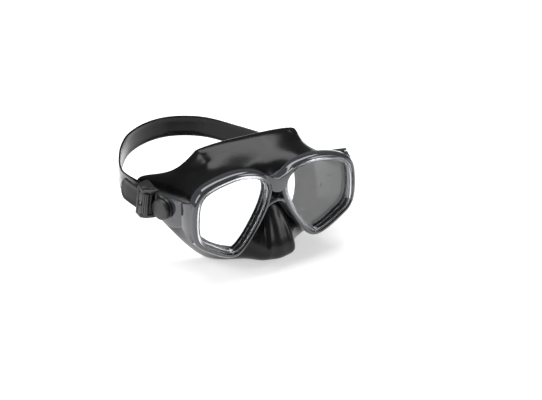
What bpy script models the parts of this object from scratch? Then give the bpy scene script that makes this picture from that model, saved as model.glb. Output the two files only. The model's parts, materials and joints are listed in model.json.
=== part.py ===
"""Twin-lens diving mask with a silicone skirt, a head strap and two swivelling strap buckles.

The mask looks along -Y, +Z is up and X runs across the face. Sizes are in millimetres and become
metres when a mesh is made. The lens fronts lie near y = 0 and the lens centres at z = 0 in the
design; the finished model is shifted so that it stands on z = 0, centred on the origin.
"""

import math

import bmesh
import bpy
from mathutils import Matrix, Vector

MM = 0.001
GAP = 0.3

# Lenses, bezels and frame
RIM_FRONT = -3.0
RIM_BACK = 5.9
RIM_WIDTH = 3.2
BEZEL_WIDTH = 2.8
BEZEL_DEPTH = 4.2
LENS_THICKNESS = 3.6
LENS_OVERLAP = 2.2
BRIDGE_FRONT = -5.5
RIM_SIDE = 77.0
WING_TOP = 19.0
WING_BOTTOM = -15.5

# Skirt
SKIRT_WALL = 2.0
COLLAR_THICKNESS = 2.5
COLLAR_LAP = 0.8
BROW_DEPTH = 47.0
TEMPLE_DEPTH = 90.0

# Buckle lugs and pivots, wearer's right and left alike
PIVOT_X = 83.3
PIVOT_Y = 29.6
PIVOT_Z = 6.5
TOE_OUT = math.radians(15)
BUCKLE_PITCH = {1: math.radians(-25), -1: math.radians(9)}  # the slack strap lets the left one hang
LEVEL = {1: 0.0, -1: 0.0}
LUG_FRONT = 17.4
LUG_BACK = 10.5
LUG_TOP = 9.2
LUG_BOTTOM = 15.0
LUG_FRONT_BOTTOM = 10.6
LUG_THICKNESS = 3.0
TONGUE_LENGTH = 4.0
TONGUE_THICKNESS = 1.2
STUD_RADIUS = 3.0

# Buckle
BOSS_RADIUS = 8.6
BOSS_HEIGHT = 3.0
CAP_HEIGHT = 4.0
ARM_WALL = 2.2
ROLLER_RADIUS = 1.8
ROLLER_X = 13.0
PIN_RADIUS = 0.8
LEVER_PIN_X = 17.0
KEEPER_X = 20.5
KEEPER_RADIUS = 1.3

# Strap
STRAP_WIDTH = 19.0
STRAP_THICKNESS = 1.8
STRAP_SIDE_PLAY = 0.6
TAIL_LENGTH = 24.0
STRAP_LOOP_DEPTH = 184.5

# Model origin: the middle of the footprint, at the lowest point
FOOTPRINT_MIDDLE_Y = 87.27
LOWEST_Z = -53.43


# Scene set-up ---------------------------------------------------------------

for old in list(bpy.data.objects):
    bpy.data.objects.remove(old, do_unlink=True)


def new_collection(name):
    collection = bpy.data.collections.new(name)
    bpy.context.scene.collection.children.link(collection)
    return collection


PARTS = new_collection("diving_mask")
CUTTERS = new_collection("cutters")


def material(name, colour, roughness, metallic=0.0):
    made = bpy.data.materials.new(name)
    made.use_nodes = True
    shader = made.node_tree.nodes["Principled BSDF"]
    shader.inputs["Base Color"].default_value = (*colour, 1)
    shader.inputs["Roughness"].default_value = roughness
    shader.inputs["Metallic"].default_value = metallic
    return made


# Mesh helpers ---------------------------------------------------------------


def add_object(name, mesh, collection=PARTS, matrix=None):
    made = bpy.data.objects.new(name, mesh)
    collection.objects.link(made)
    if matrix is not None:
        made.matrix_world = matrix
    return made


def mesh_from(bm, name):
    """Close a bmesh made in millimetres into a mesh in metres, with its faces pointing out."""
    bmesh.ops.scale(bm, vec=(MM, MM, MM), verts=bm.verts)
    bmesh.ops.recalc_face_normals(bm, faces=bm.faces)
    mesh = bpy.data.meshes.new(name)
    bm.to_mesh(mesh)
    bm.free()
    return mesh


def bake(made):
    """Apply an object's modifiers, so that the object can be cut or joined."""
    depsgraph = bpy.context.evaluated_depsgraph_get()
    mesh = bpy.data.meshes.new_from_object(made.evaluated_get(depsgraph))
    made.modifiers.clear()
    made.data = mesh
    return made


def boolean(target, tool, operation, solver="EXACT"):
    modifier = target.modifiers.new(operation.lower(), "BOOLEAN")
    modifier.operation = operation
    modifier.solver = solver
    modifier.object = tool
    bake(target)
    bpy.data.objects.remove(tool, do_unlink=True)
    return target


def join(target, *tools):
    for tool in tools:
        boolean(target, tool, "UNION")
    return target


def cut(target, *tools):
    for tool in tools:
        boolean(target, tool, "DIFFERENCE")
    return target


def bevel(made, width, segments=2, angle=35):
    modifier = made.modifiers.new("bevel", "BEVEL")
    modifier.width = width * MM
    modifier.segments = segments
    modifier.limit_method = "ANGLE"
    modifier.angle_limit = math.radians(angle)
    return bake(made)


def smooth(made, angle=40):
    made.data.shade_smooth()
    made.data.set_sharp_from_angle(angle=math.radians(angle))
    return made


def finish(made, look, angle=40):
    made.data.materials.clear()
    made.data.materials.append(look)
    return smooth(made, angle)


def cylinder(name, radius, low, high, axis="Z", centre=(0, 0, 0), sides=32, collection=CUTTERS):
    """A round bar along one axis, between two coordinates on that axis."""
    bm = bmesh.new()
    bmesh.ops.create_cone(
        bm, cap_ends=True, segments=sides, radius1=radius, radius2=radius, depth=high - low
    )
    turn = {"Z": Matrix(), "Y": Matrix.Rotation(math.radians(90), 4, "X"),
            "X": Matrix.Rotation(math.radians(90), 4, "Y")}[axis]
    run = {"X": Vector((1, 0, 0)), "Y": Vector((0, 1, 0)), "Z": Vector((0, 0, 1))}[axis]
    place = Matrix.Translation(Vector(centre) + run * (low + high) / 2)
    bmesh.ops.transform(bm, matrix=place @ turn, verts=bm.verts)
    return add_object(name, mesh_from(bm, name), collection)


def box(name, low, high, collection=CUTTERS):
    bm = bmesh.new()
    bmesh.ops.create_cube(bm, size=1)
    low, high = Vector(low), Vector(high)
    bmesh.ops.scale(bm, vec=high - low, verts=bm.verts)
    bmesh.ops.translate(bm, vec=(low + high) / 2, verts=bm.verts)
    return add_object(name, mesh_from(bm, name), collection)


def round_curve(points, steps, closed=True):
    """Points along a smooth curve through the given points (Catmull-Rom spans)."""
    points = [Vector(p) for p in points]
    count = len(points)
    spans = count if closed else count - 1
    curve = []
    for i in range(spans):
        if closed:
            p0, p1, p2, p3 = (points[(i + k) % count] for k in (-1, 0, 1, 2))
        else:
            p0, p1, p2, p3 = (points[min(max(i + k, 0), count - 1)] for k in (-1, 0, 1, 2))
        for j in range(steps):
            t = j / steps
            curve.append(
                0.5 * (2 * p1 + (p2 - p0) * t + (2 * p0 - 5 * p1 + 4 * p2 - p3) * t**2
                       + (3 * p1 - p0 - 3 * p2 + p3) * t**3)
            )
    if not closed:
        curve.append(points[-1])
    return curve


def offset(outline, distance):
    """A closed clockwise outline moved outwards by a distance."""
    count = len(outline)
    moved = []
    for i, point in enumerate(outline):
        run = (outline[(i + 1) % count] - outline[i - 1]).normalized()
        moved.append(point + Vector((-run.y, run.x)) * distance)
    return moved


def plate(name, outlines, front, back, collection=CUTTERS):
    """A flat plate facing -Y, from closed outlines in X and Z; the later outlines are holes."""
    curve = bpy.data.curves.new(name, "CURVE")
    curve.dimensions = "2D"
    curve.fill_mode = "BOTH"
    curve.extrude = (back - front) / 2 * MM
    for outline in outlines:
        spline = curve.splines.new("POLY")
        spline.points.add(len(outline) - 1)
        for point, place in zip(spline.points, outline):
            point.co = (place[0] * MM, place[1] * MM, 0, 1)
        spline.use_cyclic_u = True
    drawn = add_object(name, curve, CUTTERS)
    mesh = bpy.data.meshes.new_from_object(
        drawn.evaluated_get(bpy.context.evaluated_depsgraph_get())
    )
    bpy.data.objects.remove(drawn, do_unlink=True)
    bm = bmesh.new()
    bm.from_mesh(mesh)
    bmesh.ops.remove_doubles(bm, verts=bm.verts, dist=1e-6)
    bmesh.ops.rotate(bm, verts=bm.verts, matrix=Matrix.Rotation(math.radians(90), 3, "X"))
    bmesh.ops.translate(bm, verts=bm.verts, vec=(0, (front + back) / 2 * MM, 0))
    bmesh.ops.recalc_face_normals(bm, faces=bm.faces)
    mesh = bpy.data.meshes.new(name)
    bm.to_mesh(mesh)
    bm.free()
    return add_object(name, mesh, collection)


def loft(name, rings, collection=CUTTERS, closed_ends=False):
    """A surface through rings that have the same number of points, each ring closed on itself.

    Without ends the rings themselves close up, as the sections of a hoop do.
    """
    bm = bmesh.new()
    rows = [[bm.verts.new(point) for point in ring] for ring in rings]
    size = len(rows[0])
    pairs = list(zip(rows, rows[1:])) if closed_ends else list(zip(rows, rows[1:] + rows[:1]))
    for first, second in pairs:
        for i in range(size):
            j = (i + 1) % size
            bm.faces.new((first[i], first[j], second[j], second[i]))
    if closed_ends:
        bm.faces.new(list(reversed(rows[0])))
        bm.faces.new(rows[-1])
    return add_object(name, mesh_from(bm, name), collection)


def hoop(name, outline, profile, collection=CUTTERS):
    """A hoop around an outline in X and Z; the profile gives its outward offsets and its Y."""
    rings = []
    for out, y in profile:
        rings.append([(p.x, y, p.y) for p in offset(outline, out)])
    return loft(name, rings, collection)


def mirrored(made, name, collection=PARTS):
    """The same piece on the other side of the mask."""
    bm = bmesh.new()
    bm.from_mesh(made.data)
    bmesh.ops.scale(bm, vec=(-1, 1, 1), verts=bm.verts)
    bmesh.ops.reverse_faces(bm, faces=bm.faces)
    mesh = bpy.data.meshes.new(name)
    bm.to_mesh(mesh)
    bm.free()
    return add_object(name, mesh, collection)


# Lenses, bezels and frame ---------------------------------------------------

# The clear opening of the wearer's left lens, clockwise from the top, in X and Z.
OPENING_POINTS = [
    (40, 29.4), (56.5, 26.2), (67, 20.5), (70.4, 8), (69.2, -11.5), (58.5, -21), (42, -29.3),
    (33.5, -26.5), (22.5, -13), (12.8, 4.5), (10.2, 18.5), (17, 26.2), (28, 29.2),
]
OPENING = round_curve(OPENING_POINTS, 5)

smoke = material("smoke_polycarbonate", (0.09, 0.095, 0.1), 0.15)
smoke_bezel = material("bezel_polycarbonate", (0.3, 0.31, 0.32), 0.1)
glass = material("tempered_glass", (0.8, 0.85, 0.85), 0.02)
silicone = material("black_silicone", (0.012, 0.012, 0.013), 0.3)
nylon = material("buckle_nylon", (0.03, 0.03, 0.033), 0.4)
steel = material("stainless_steel", (0.6, 0.6, 0.62), 0.25, 1.0)

BEZEL_TO_RIM = BEZEL_WIDTH + GAP
RIM_OUT = BEZEL_TO_RIM + RIM_WIDTH


def make_lens():
    edge = offset(OPENING, LENS_OVERLAP)
    lens = plate("lens_left", [edge], RIM_BACK - LENS_THICKNESS, RIM_BACK, PARTS)
    finish(lens, glass)
    finish(mirrored(lens, "lens_right"), glass)


def make_bezel():
    front = RIM_FRONT + 0.4
    back = front + BEZEL_DEPTH
    profile = [
        (0, back), (BEZEL_WIDTH, back), (BEZEL_WIDTH, front + 0.8), (BEZEL_WIDTH - 0.8, front),
        (0.9, front), (0, front + 1.0),
    ]
    bezel = hoop("bezel_left", OPENING, profile, PARTS)
    finish(bezel, smoke_bezel)
    finish(mirrored(bezel, "bezel_right"), smoke_bezel)


def rim_hoop(name):
    profile = [
        (BEZEL_TO_RIM - 1, RIM_BACK), (RIM_OUT, RIM_BACK), (RIM_OUT, RIM_FRONT + 2.6),
        (RIM_OUT - 1.0, RIM_FRONT + 0.8), (BEZEL_TO_RIM + 1.0, RIM_FRONT),
        (BEZEL_TO_RIM - 1, RIM_FRONT),
    ]
    return hoop(name, OPENING, profile)


def wing(name):
    """The side of the frame, which turns back from the rim and ends square against the buckle lug."""
    lug = side_frame(1, 0)
    outer, inner = (
        lug @ (Vector((-LUG_FRONT - GAP, 0, height)) * MM) / MM
        for height in (0.6, -LUG_THICKNESS - 0.6)
    )
    plan = [(RIM_SIDE - 4.5, 1.5), (RIM_SIDE - 1.0, 0.8), (RIM_SIDE + 0.6, 4.0), (outer.x, outer.y),
            (inner.x, inner.y), (RIM_SIDE - 1.6, 8.0), (RIM_SIDE - 2.6, 5.2)]
    low, high = [], []
    bm = bmesh.new()
    for x, y in plan:
        share = min(max((y - 0.8) / (outer.y - 0.8), 0), 1)
        high.append(bm.verts.new((x, y, WING_TOP + (PIVOT_Z + LUG_TOP - WING_TOP) * share)))
        lower = WING_BOTTOM + (PIVOT_Z - LUG_FRONT_BOTTOM - WING_BOTTOM) * share
        low.append(bm.verts.new((x, y, lower)))
    for i in range(len(plan)):
        j = (i + 1) % len(plan)
        bm.faces.new((low[i], low[j], high[j], high[i]))
    bm.faces.new(low)
    bm.faces.new(list(reversed(high)))
    made = bevel(add_object(name, mesh_from(bm, name), CUTTERS), 0.7)
    slot = tongue("slot", GAP)
    slot.data.transform(lug)
    return cut(made, slot)


def tongue(name, play=0.0):
    """The flat tongue at the front of a lug, which clips into a slot in the wing's end."""
    return box(
        name,
        (-LUG_FRONT - TONGUE_LENGTH - play, -LUG_FRONT_BOTTOM + 3 - play,
         -LUG_THICKNESS + 0.7 - play),
        (-LUG_FRONT + 1, LUG_TOP - 3 + play, -LUG_THICKNESS + 0.7 + TONGUE_THICKNESS + play),
    )


def side_frame(side, pitch):
    """Where a buckle's flat model goes: side is 1 for the wearer's left and -1 for the right."""
    out = Vector((side * math.cos(TOE_OUT), -math.sin(TOE_OUT), 0))
    back = Vector((side * math.sin(TOE_OUT), math.cos(TOE_OUT), 0))
    back = back * math.cos(pitch) + Vector((0, 0, 1)) * math.sin(pitch)
    matrix = Matrix((back, out.cross(back), out)).transposed().to_4x4()
    matrix.translation = Vector((side * PIVOT_X, PIVOT_Y, PIVOT_Z)) * MM
    return matrix


def make_frame():
    rim = rim_hoop("rim")
    frame = add_object("frame", rim.data.copy(), PARTS)
    other = mirrored(rim, "rim_other", CUTTERS)
    bpy.data.objects.remove(rim, do_unlink=True)
    half_web = [(0, 25.5), (7, 27.5), (14, 31.0), (11.5, 24), (8.2, 17), (4.5, 14), (0, 13)]
    web_outline = half_web + [(-x, z) for x, z in reversed(half_web[1:-1])]
    web = bevel(plate("web", [web_outline], BRIDGE_FRONT, RIM_BACK - 0.4), 1.2)
    arch_points = [(-12, 1.5, -4.5), (-8, 0, 1.5), (-4, -1.5, 4.6), (0, -2, 5.6), (4, -1.5, 4.6),
                   (8, 0, 1.5), (12, 1.5, -4.5)]
    join(frame, other, web, rod("arch", arch_points, 1.7, 4))
    wing_left = wing("wing")
    wing_right = mirrored(wing_left, "wing_other", CUTTERS)
    join(frame, wing_left, wing_right)
    pocket = plate("pocket", [offset(OPENING, BEZEL_TO_RIM)], BRIDGE_FRONT - 3, RIM_BACK + 1)
    cut(frame, mirrored(pocket, "pocket_other", CUTTERS), pocket)
    finish(frame, smoke)


def rod(name, points, radius, steps, collection=CUTTERS):
    """A round rod along a smooth route, with filled ends."""
    route = round_curve(points, steps, closed=False)
    curve = bpy.data.curves.new(name, "CURVE")
    curve.dimensions = "3D"
    curve.bevel_depth = radius * MM
    curve.bevel_resolution = 3
    curve.use_fill_caps = True
    spline = curve.splines.new("POLY")
    spline.points.add(len(route) - 1)
    for point, place in zip(spline.points, route):
        point.co = (*(place * MM), 1)
    drawn = add_object(name + "_curve", curve, CUTTERS)
    mesh = bpy.data.meshes.new_from_object(
        drawn.evaluated_get(bpy.context.evaluated_depsgraph_get())
    )
    bpy.data.objects.remove(drawn, do_unlink=True)
    bm = bmesh.new()
    bm.from_mesh(mesh)
    bmesh.ops.remove_doubles(bm, verts=bm.verts, dist=1e-6)
    bmesh.ops.recalc_face_normals(bm, faces=bm.faces)
    mesh = bpy.data.meshes.new(name)
    bm.to_mesh(mesh)
    bm.free()
    return add_object(name, mesh, collection)


# Skirt ----------------------------------------------------------------------

COLLAR_FRONT = RIM_BACK + GAP
COLLAR_MIDDLE = COLLAR_FRONT + COLLAR_THICKNESS / 2

# Lines down the skirt from its collar to its face edge, for the wearer's left half. They run from
# the middle of the brow, round the temple and the cheek, to the middle of the nose pocket. Behind
# the rims the wall necks in, and it flares out again to the face edge.
SKIRT_LINES = [
    [(0, COLLAR_MIDDLE, 22), (0, 13, 30), (0, 29, 38),
     (0, BROW_DEPTH - 2, 46), (0, BROW_DEPTH - 0.5, 35)],
    [(12, COLLAR_MIDDLE, 27), (13, 13, 32), (15, 29, 38.5),
     (16, BROW_DEPTH - 1.5, 45.5), (15, BROW_DEPTH + 0.5, 34)],
    [(27, COLLAR_MIDDLE, 32), (28, 14, 34), (30, 31, 38.5),
     (32, BROW_DEPTH - 0.5, 44.3), (29, BROW_DEPTH + 2, 32.5)],
    [(41, COLLAR_MIDDLE, 33.6), (42, 15.5, 32), (43.5, 31.5, 35.5),
     (46, BROW_DEPTH, 42), (41, BROW_DEPTH + 3.5, 30)],
    [(57, COLLAR_MIDDLE, 28), (55, 17.5, 27), (52, 35, 26),
     (60.3, BROW_DEPTH + 11, 19.5), (52, BROW_DEPTH + 13, 15.5)],
    [(69, COLLAR_MIDDLE, 18.5), (66, 18.5, 18), (64, 42, 18.5),
     (74, TEMPLE_DEPTH - 10, 13.5), (64, TEMPLE_DEPTH - 14, 9.5)],
    [(72.6, COLLAR_MIDDLE, 6), (69, 18.5, 7), (68, 46, 8),
     (82, TEMPLE_DEPTH, 9.5), (70, TEMPLE_DEPTH - 5, 4)],
    [(72, COLLAR_MIDDLE, -8), (69.5, 18.5, -9), (69, 46, -8),
     (79, TEMPLE_DEPTH - 6, -6), (68.5, TEMPLE_DEPTH - 12, -6)],
    [(66, COLLAR_MIDDLE, -19.5), (66, 18, -22), (66, 38, -23), (68.5, 60, -24), (59, 58, -19)],
    [(54, COLLAR_MIDDLE, -27.5), (56, 17, -33), (57.5, 34.5, -38.5), (56, 48, -36.5), (49, 50, -31)],
    [(41, COLLAR_MIDDLE, -33), (40, 16.5, -38.5), (42, 34, -51), (41, 43, -53.5), (37, 45, -43.5)],
    [(28, COLLAR_MIDDLE, -26), (28.5, 13.5, -38.5), (28.5, 23, -50), (27, 36, -54), (24.5, 40, -47.5)],
    [(20, COLLAR_MIDDLE, -20.5), (19.5, 2.5, -33), (19.5, 5, -41.5),
     (18, 21, -50.3), (15.5, 35, -48.5)],
    [(12.2, COLLAR_MIDDLE, -11), (12, -1.5, -24), (13.5, -10, -40),
     (13.5, -4, -45), (13, 16, -48), (11, 33, -46.5)],
    [(6.2, COLLAR_MIDDLE, 0), (7.5, -2.5, -12), (10, -9, -29),
     (9, -13, -41.5), (7, 3, -45.2), (6, 32, -44)],
    [(0, COLLAR_MIDDLE, 2.6), (0, 0.5, -8), (0, -7.5, -28),
     (0, -13.5, -43), (0, 3, -45.6), (0, 31, -42)],
]
SKIRT_ROWS = 8


def along(points, count):
    """The given number of points, evenly spaced along a smooth curve through some points."""
    curve = round_curve(points, 8, closed=False)
    lengths = [0.0]
    for first, second in zip(curve, curve[1:]):
        lengths.append(lengths[-1] + (second - first).length)
    spread = []
    for k in range(count):
        target = lengths[-1] * k / (count - 1)
        i = max(j for j in range(len(curve)) if lengths[j] <= target + 1e-9)
        if i == len(curve) - 1:
            spread.append(curve[-1])
            continue
        share = (target - lengths[i]) / (lengths[i + 1] - lengths[i])
        spread.append(curve[i].lerp(curve[i + 1], share))
    return spread


def make_skirt():
    """The shell from the collar to the face edge, thickened, and the collar plate behind the frame."""
    lines = [along(line, SKIRT_ROWS) for line in SKIRT_LINES]
    bm = bmesh.new()
    rows = [[bm.verts.new(point) for point in line] for line in lines]
    for first, second in zip(rows, rows[1:]):
        for i in range(SKIRT_ROWS - 1):
            bm.faces.new((first[i], first[i + 1], second[i + 1], second[i]))
    shell = add_object("skirt", mesh_from(bm, "skirt"), PARTS)
    mirror = shell.modifiers.new("mirror", "MIRROR")
    mirror.use_clip = True
    mirror.merge_threshold = 0.0001
    rounding = shell.modifiers.new("rounding", "SUBSURF")
    rounding.levels = rounding.render_levels = 1
    wall = shell.modifiers.new("wall", "SOLIDIFY")
    wall.thickness = SKIRT_WALL * MM
    wall.offset = 0
    bake(shell)

    front = [Vector((line[0][0], line[0][2])) for line in SKIRT_LINES]
    outline = round_curve(front + [Vector((-p.x, p.y)) for p in reversed(front[1:-1])], 3)
    outline = offset(outline, COLLAR_LAP)
    hole = offset(OPENING, 0.6)
    hole_other = [Vector((-p.x, p.y)) for p in hole]
    collar_back = COLLAR_FRONT + COLLAR_THICKNESS
    collar = plate("collar", [outline, hole, hole_other], COLLAR_FRONT, collar_back)
    boolean(shell, collar, "UNION", "MANIFOLD")
    finish(shell, silicone, 60)


# Buckles ----------------------------------------------------------------------
# Each buckle is modelled flat: X runs back along the buckle, Z points out from the head and the
# pivot stands at the origin, on the outer face of the lug.

STRAP_INNER = GAP
ROLLER_Z = STRAP_INNER + STRAP_THICKNESS + GAP + ROLLER_RADIUS
WRAP_RADIUS = ROLLER_RADIUS + GAP + STRAP_THICKNESS / 2
STRAP_OUTER = ROLLER_Z + ROLLER_RADIUS + GAP
ARM_INNER = STRAP_WIDTH / 2 + STRAP_SIDE_PLAY
ARM_OUTER = ARM_INNER + ARM_WALL
LEVER_Z = STRAP_OUTER + STRAP_THICKNESS + GAP + 1.7
TUNNEL_END = 25.5
TWIST_ROOM = 1.5


def both_sides(made, name, pitch, origin=(0, 0, 0)):
    """Put a flat-modelled piece on both sides, with its own origin at the given place."""
    shift = Matrix.Translation(Vector(origin) * MM)
    made.data.transform(shift.inverted())
    add_object(f"{name}_left", made.data, PARTS, side_frame(1, pitch[1]) @ shift)
    other = made.data.copy()
    other.transform(Matrix.Scale(-1, 4, (0, 1, 0)))
    other.flip_normals()
    add_object(f"{name}_right", other, PARTS, side_frame(-1, pitch[-1]) @ shift)
    bpy.data.objects.remove(made, do_unlink=True)


def flat_plate(name, outline, low, high):
    """A plate in the buckle's own X and Y, between two heights."""
    bm = bmesh.new()
    floor = bm.faces.new([bm.verts.new((x, y, low)) for x, y in outline])
    sides = bmesh.ops.extrude_face_region(bm, geom=[floor])
    top = [v for v in sides["geom"] if isinstance(v, bmesh.types.BMVert)]
    bmesh.ops.translate(bm, verts=top, vec=(0, 0, high - low))
    return add_object(name, mesh_from(bm, name), CUTTERS)


def side_plate(name, outline, low, high):
    """A plate in the buckle's X and Z, between two places across its width."""
    bm = bmesh.new()
    floor = bm.faces.new([bm.verts.new((x, low, z)) for x, z in outline])
    sides = bmesh.ops.extrude_face_region(bm, geom=[floor])
    top = [v for v in sides["geom"] if isinstance(v, bmesh.types.BMVert)]
    bmesh.ops.translate(bm, verts=top, vec=(0, high - low, 0))
    return add_object(name, mesh_from(bm, name), CUTTERS)


def arc(centre, radius, start, end, steps):
    return [
        (centre[0] + radius * math.cos(math.radians(start + (end - start) * i / steps)),
         centre[1] + radius * math.sin(math.radians(start + (end - start) * i / steps)))
        for i in range(steps + 1)
    ]


def make_lug():
    """The plate that carries the buckle: square at the front, with a round lobe under the pivot."""
    lobe = [(-LUG_FRONT + 3, -LUG_FRONT_BOTTOM - 2.4), (-9, -LUG_BOTTOM + 0.4), (-4, -LUG_BOTTOM),
            (2, -LUG_BOTTOM + 1.8), (7.5, -LUG_BOTTOM + 7), (LUG_BACK, -1), (LUG_BACK - 1.2, 5),
            (LUG_BACK - 4, LUG_TOP - 1), (LUG_BACK - 8, LUG_TOP)]
    lobe = [(p.x, p.y) for p in round_curve(lobe, 3, closed=False)]
    outline = [(-LUG_FRONT, LUG_TOP), (-LUG_FRONT, -LUG_FRONT_BOTTOM)] + lobe
    lug = bevel(flat_plate("lug", outline, -LUG_THICKNESS, 0), 0.5)
    join(lug, tongue("tongue"))
    cut(lug, cylinder("lug_hole", STUD_RADIUS + GAP, -LUG_THICKNESS - 1, 1))
    both_sides(finish(lug, smoke), "buckle_lug", LEVEL)


def make_stud():
    """The stud holds the buckle on the lug: a shank, a foot behind the lug and a head on the boss."""
    stud = cylinder("stud", STUD_RADIUS, -LUG_THICKNESS - 1.2, BOSS_HEIGHT + 1.3)
    foot = cylinder("foot", STUD_RADIUS + 2, -LUG_THICKNESS - GAP - 1.2, -LUG_THICKNESS - GAP)
    head = cylinder("head", STUD_RADIUS + 2, BOSS_HEIGHT + GAP, BOSS_HEIGHT + 1.5)
    both_sides(finish(join(stud, foot, head), steel), "pivot_stud", LEVEL)


def make_body():
    """The swivelling buckle: a boss round the stud, two arms beside the strap and two cross bars."""
    boss = cylinder("body", BOSS_RADIUS, GAP, BOSS_HEIGHT, sides=40)
    neck = flat_plate(
        "neck",
        [(-3, -BOSS_RADIUS + 0.6), (4, -BOSS_RADIUS - 0.3), (10, -ARM_OUTER), (10, -ARM_INNER - 0.1),
         (8, -ARM_INNER - 0.1), (7.6, -ARM_INNER + 2.5), (7.6, ARM_INNER - 2.5), (8, ARM_INNER + 0.1),
         (10, ARM_INNER + 0.1), (10, ARM_OUTER),
         (4, BOSS_RADIUS + 0.3), (-3, BOSS_RADIUS - 0.6)],
        GAP + 0.05, BOSS_HEIGHT - 0.05,
    )
    arm_side = [(8.0, GAP + 0.1), (LUG_BACK + 3, GAP + 0.1), (TUNNEL_END - 4, -TWIST_ROOM - 1.0),
                (TUNNEL_END - 0.6, -TWIST_ROOM - 1.0), (TUNNEL_END, -TWIST_ROOM + 0.5),
                (TUNNEL_END - 1, 6.5), (KEEPER_X + 1.9, STRAP_OUTER + 3.6),
                (LEVER_PIN_X - 2.4, LEVER_Z + 2.0),
                (ROLLER_X - 2, LEVER_Z - 1.0), (8.0, BOSS_HEIGHT + 0.3)]
    arms = [
        side_plate("arm", arm_side, ARM_INNER, ARM_OUTER),
        side_plate("arm_other", arm_side, -ARM_OUTER, -ARM_INNER),
    ]
    keeper = cylinder("keeper", KEEPER_RADIUS, -ARM_INNER - 1, ARM_INNER + 1, "Y",
                      (KEEPER_X, 0, LEVER_Z - 0.2), 16)
    floor = box("floor", (TUNNEL_END - 4.5, -ARM_INNER - 1, -TWIST_ROOM - 0.9),
                (TUNNEL_END - 1.0, ARM_INNER + 1, -TWIST_ROOM))
    body = join(boss, neck, *arms, keeper, floor)
    cut(
        body,
        cylinder("stud_hole", STUD_RADIUS + GAP, -2, BOSS_HEIGHT + 2),
        cylinder("roller_pin_hole", PIN_RADIUS + GAP, -ARM_OUTER - 1, ARM_OUTER + 1, "Y",
                 (ROLLER_X, 0, ROLLER_Z), 20),
        cylinder("lever_pin_hole", PIN_RADIUS + GAP, -ARM_OUTER - 1, ARM_OUTER + 1, "Y",
                 (LEVER_PIN_X, 0, LEVER_Z), 20),
    )
    both_sides(finish(body, nylon), "buckle_body", BUCKLE_PITCH)


def make_cap():
    """A domed button cover pressed over the stud's head, hollow underneath."""
    low = BOSS_HEIGHT + GAP
    cap = cylinder("cap", BOSS_RADIUS, low, low + CAP_HEIGHT, sides=40)
    bevel(cap, 1.4, 3)
    cut(cap, cylinder("cap_hollow", STUD_RADIUS + 2.6, low - 1, low + 1.9, sides=32))
    both_sides(finish(cap, nylon), "pivot_cap", BUCKLE_PITCH)


def make_roller():
    """A ribbed roller that the strap turns round, on a steel pin."""
    ribs = 12
    outline = []
    for i in range(ribs * 2):
        radius = ROLLER_RADIUS if i % 2 else ROLLER_RADIUS - 0.35
        angle = math.pi * i / ribs
        outline.append((ROLLER_X + radius * math.cos(angle), ROLLER_Z + radius * math.sin(angle)))
    roller = side_plate("roller", outline, -ARM_INNER + GAP, ARM_INNER - GAP)
    centre = (ROLLER_X, 0, ROLLER_Z)
    cut(roller, cylinder("bore", PIN_RADIUS + GAP, -ARM_OUTER, ARM_OUTER, "Y", centre, 20))
    both_sides(finish(roller, nylon), "roller", BUCKLE_PITCH, centre)
    pin = cylinder("pin", PIN_RADIUS, -ARM_OUTER + 0.2, ARM_OUTER - 0.2, "Y", centre, 16)
    both_sides(finish(pin, steel), "roller_pin", BUCKLE_PITCH, centre)


def make_lever():
    """The ribbed release lever over the strap, on its own pin, with a small torsion spring."""
    half = ARM_INNER - 0.5
    front = BOSS_RADIUS + 0.9
    low, high = LEVER_Z - 1.0, LEVER_Z + 0.9
    lever = side_plate(
        "lever",
        [(front, low + 0.3), (front + 1.2, low), (LEVER_PIN_X, low - 0.6),
         (LEVER_PIN_X + 1.7, low + 0.6), (LEVER_PIN_X + 1.2, high + 0.4),
         (LEVER_PIN_X, high + 0.8), (front + 1, high), (front, high - 0.5)],
        -half, half,
    )
    ribs = [
        box("rib", (x, -half + 0.6, high - 0.5), (x + 0.9, half - 0.6, high + 0.7))
        for x in (front + 1.0, front + 2.9, front + 4.8, front + 6.7)
    ]
    centre = (LEVER_PIN_X, 0, LEVER_Z)
    join(lever, *ribs)
    cut(
        lever,
        cylinder("bore", PIN_RADIUS + GAP, -half - 1, half + 1, "Y", centre, 20),
        box("spring_slot", (LEVER_PIN_X - 2.6, -2.2, low - 2), (LEVER_PIN_X + 3, 2.2, high + 2)),
    )
    both_sides(finish(lever, nylon, 30), "release_lever", BUCKLE_PITCH, centre)
    pin = cylinder("pin", PIN_RADIUS, -ARM_OUTER + 0.2, ARM_OUTER - 0.2, "Y", centre, 16)
    both_sides(finish(pin, steel), "lever_pin", BUCKLE_PITCH, centre)

    turns, steps, coil_radius, wire = 4, 14, PIN_RADIUS + 0.55, 0.22
    coil = []
    for i in range(turns * steps + 1):
        angle = 2 * math.pi * i / steps + math.radians(200)
        coil.append((
            LEVER_PIN_X + coil_radius * math.cos(angle),
            -1.4 + 2.8 * i / (turns * steps),
            LEVER_Z + coil_radius * math.sin(angle),
        ))
    spring = rod("spring", coil, wire, 1)
    both_sides(finish(spring, steel), "lever_spring", BUCKLE_PITCH, centre)


# Strap ------------------------------------------------------------------------


def ribbon(name, route, width, thickness):
    """A flat band of even thickness along a route; each point comes with the band's flat side."""
    rings = []
    for point, outward, upward in route:
        half_w, half_t = upward * width / 2, outward * thickness / 2
        rings.append([point - half_w - half_t, point + half_w - half_t,
                      point + half_w + half_t, point - half_w + half_t])
    return loft(name, rings, CUTTERS, closed_ends=True)


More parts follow.
